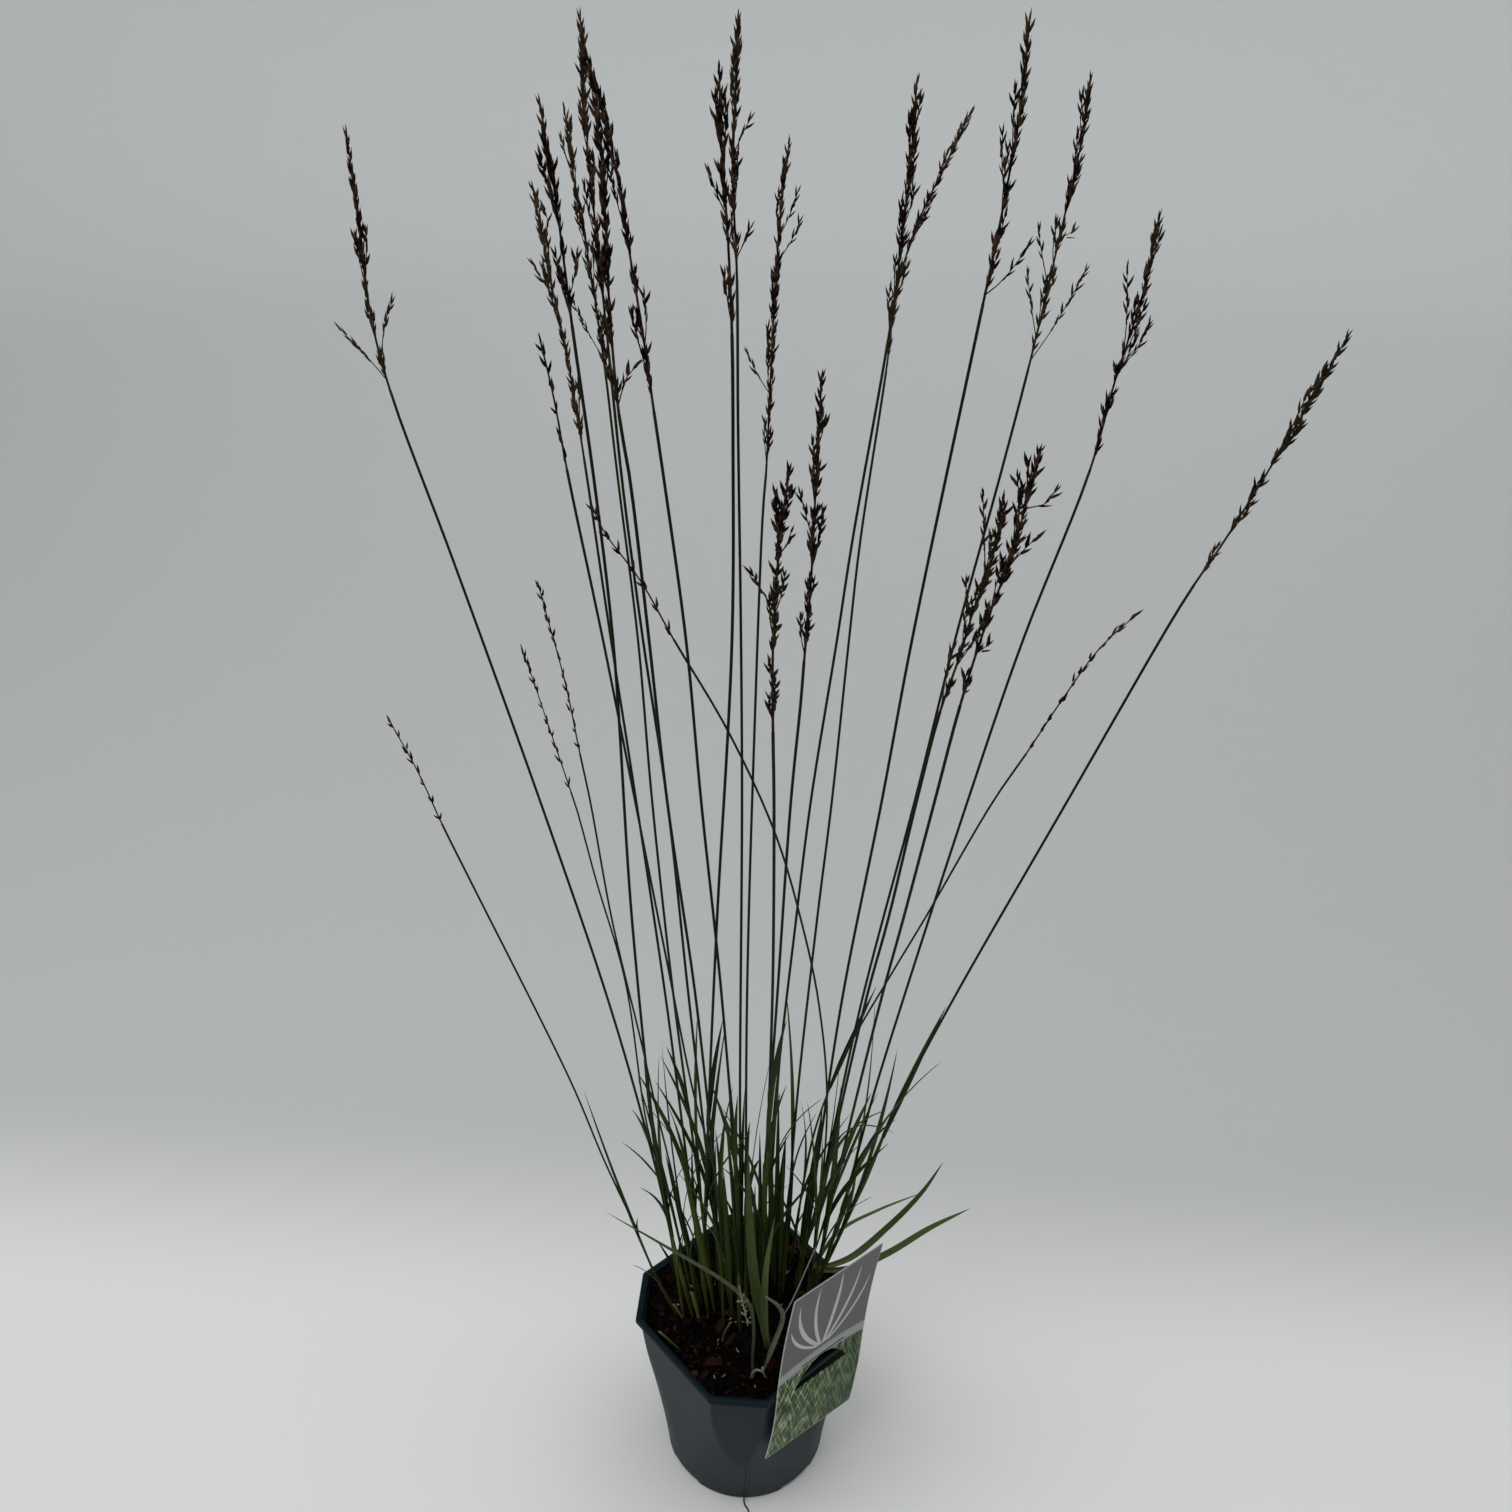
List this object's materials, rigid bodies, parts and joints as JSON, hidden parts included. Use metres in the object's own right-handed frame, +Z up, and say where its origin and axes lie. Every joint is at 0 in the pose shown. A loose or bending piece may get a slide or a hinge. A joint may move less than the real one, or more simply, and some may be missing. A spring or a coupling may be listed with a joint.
{
  "type": "potted purple moor grass",
  "caption": "Clump of upright ornamental grass in flower, with slender dark seed heads on tall bare stems, in a thin-walled octagonal nursery pot with a hooked-on plant label.",
  "frame": {"origin": "centre of the pot's underside, on the surface it stands on", "axes": "+Z up along the stems; the front of the pot, as pictured, faces -Y; +X to the right"},
  "size_m": [0.4661, 0.4263, 0.997],
  "materials": {
    "pot_plastic": "semi-gloss dark blue-grey moulded plastic",
    "compost": "moist dark compost with bark chips",
    "printed_card": "thin printed plastic card with a satin face",
    "foliage": "living green grass stems, sheaths and blades",
    "flower_head": "dull purplish brown spikelets",
    "straw": "withered pale straw"
  },
  "bodies": {
    "root": {"pot": "pot_plastic", "soil": "compost", "label": "printed_card", "culm_01": "foliage", "panicle_01": "flower_head", "culm_02": "foliage", "panicle_02": "flower_head", "culm_03": "foliage", "panicle_03": "flower_head", "culm_04": "foliage", "panicle_04": "flower_head", "culm_05": "foliage", "panicle_05": "flower_head", "culm_06": "foliage", "panicle_06": "flower_head", "culm_07": "foliage", "panicle_07": "flower_head", "culm_08": "foliage", "panicle_08": "flower_head", "culm_09": "foliage", "panicle_09": "flower_head", "culm_10": "foliage", "panicle_10": "flower_head", "culm_11": "foliage", "panicle_11": "flower_head", "culm_12": "foliage", "panicle_12": "flower_head", "culm_13": "foliage", "panicle_13": "flower_head", "culm_14": "foliage", "panicle_14": "flower_head", "culm_15": "foliage", "panicle_15": "flower_head", "culm_16": "foliage", "panicle_16": "flower_head", "culm_17": "foliage", "panicle_17": "flower_head", "culm_18": "foliage", "panicle_18": "flower_head", "culm_19": "foliage", "panicle_19": "flower_head", "culm_20": "foliage", "panicle_20": "flower_head", "culm_21": "foliage", "panicle_21": "flower_head", "culm_22": "foliage", "panicle_22": "flower_head", "culm_23": "foliage", "panicle_23": "flower_head", "culm_24": "foliage", "panicle_24": "flower_head", "culm_25": "foliage", "panicle_25": "flower_head", "culm_26": "foliage", "panicle_26": "flower_head", "shoot_right": "foliage", "shoot_front": "foliage", "shoot_drooping": "foliage", "shoot_withered": "straw"}
  },
  "joints": []
}
